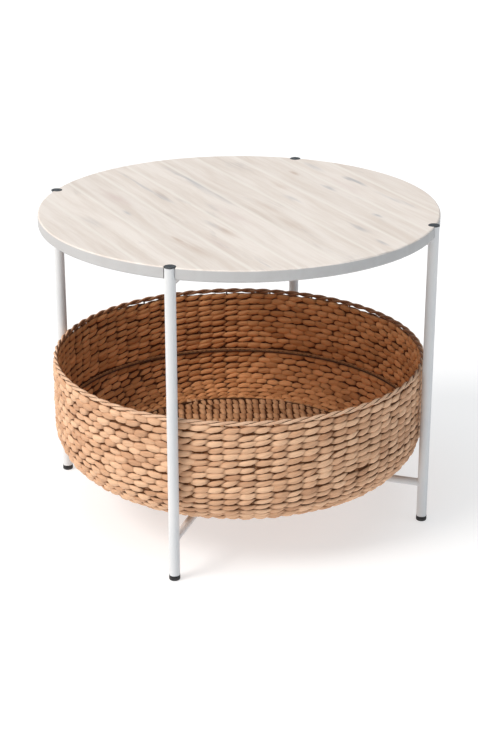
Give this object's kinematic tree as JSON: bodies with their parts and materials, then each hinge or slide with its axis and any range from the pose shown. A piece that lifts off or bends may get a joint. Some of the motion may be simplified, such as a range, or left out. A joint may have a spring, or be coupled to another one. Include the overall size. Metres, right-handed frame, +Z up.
{
  "type": "coffee table",
  "caption": "Round low table: edge-glued whitewashed board top on a welded white tube frame, with a loose woven basket on its lower cross.",
  "frame": {"origin": "on the floor, under the middle of the round top", "axes": "+Z up; the legs stand on the X and Y axes, the front leg on -Y"},
  "size_m": [0.621, 0.621, 0.4835],
  "materials": {
    "painted_frame": "satin powder coat",
    "black_cap": "semi-gloss moulded",
    "black_foot": "matt moulded",
    "whitewashed_wood": "whitewash, fine grain",
    "zinc_screw": "zinc plated",
    "woven_wall": "dried water plant strands, twined",
    "woven_floor": "dried water plant strands, twined",
    "rim_strand": "flat dried strand, wound on",
    "basket_wire": "brown paint"
  },
  "bodies": {
    "frame": {"leg_front": "painted_frame", "leg_right": "painted_frame", "leg_back": "painted_frame", "leg_left": "painted_frame", "cap_front": "black_cap", "cap_right": "black_cap", "cap_back": "black_cap", "cap_left": "black_cap", "foot_front": "black_foot", "foot_right": "black_foot", "foot_back": "black_foot", "foot_left": "black_foot", "lower_through_bar": "painted_frame", "lower_half_bar_front": "painted_frame", "lower_half_bar_back": "painted_frame", "upper_through_bar": "painted_frame", "upper_half_bar_front": "painted_frame", "upper_half_bar_back": "painted_frame", "top_board_01": "whitewashed_wood", "top_board_02": "whitewashed_wood", "top_board_03": "whitewashed_wood", "top_board_04": "whitewashed_wood", "top_board_05": "whitewashed_wood", "top_board_06": "whitewashed_wood", "top_board_07": "whitewashed_wood", "top_board_08": "whitewashed_wood", "top_board_09": "whitewashed_wood", "top_board_10": "whitewashed_wood", "top_screws": "zinc_screw"},
    "basket": {"basket_wall": "woven_wall", "basket_floor": "woven_floor", "rim_binding": "rim_strand", "rim_wire": "basket_wire", "middle_ring": "basket_wire", "floor_ring": "basket_wire", "upright_wires": "basket_wire"}
  },
  "joints": [
    {"name": "basket_lift", "type": "slide", "parent": "frame", "child": "basket", "axis": [0, 0, 1], "range_m": [0, 0.19]}
  ]
}
